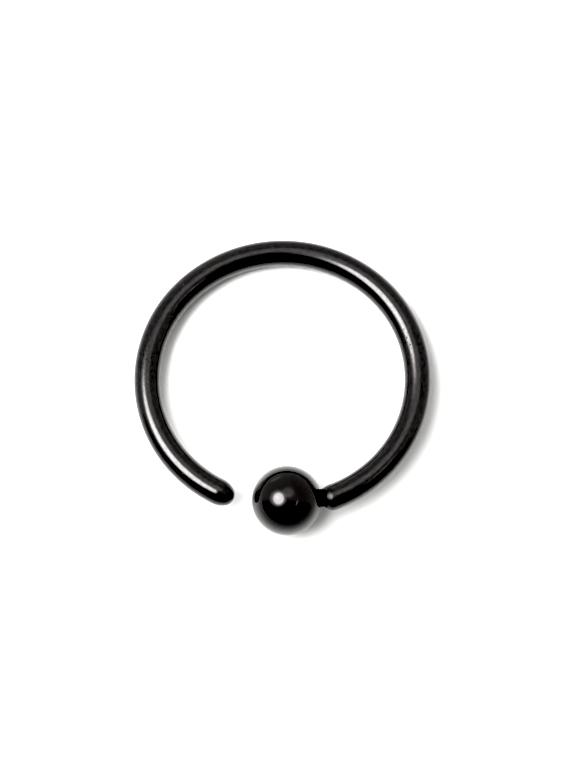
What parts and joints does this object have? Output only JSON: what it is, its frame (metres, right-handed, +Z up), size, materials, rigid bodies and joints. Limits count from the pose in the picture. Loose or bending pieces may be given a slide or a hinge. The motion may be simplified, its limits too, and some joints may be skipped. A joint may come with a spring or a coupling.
{
  "type": "fixed bead ring",
  "caption": "Open body-piercing ring of round wire, with a round bead fixed on one end and a rounded free end just short of it, lying on its side.",
  "frame": {"origin": "centre of the part's bounding box at floor level, with the ring lying on its side as it rests", "axes": "+Z up from the floor; -Y towards the bead, +Y towards the far side of the wire; the bead's neck is on its +X side and the free end on its -X side"},
  "size_m": [0.0136, 0.0138, 0.0031],
  "materials": {
    "ring_wire": "thin gloss black coating on polished steel",
    "bead": "thin gloss black coating on polished steel"
  },
  "bodies": {
    "root": {"ring_wire": "ring_wire", "bead": "bead"}
  },
  "joints": []
}
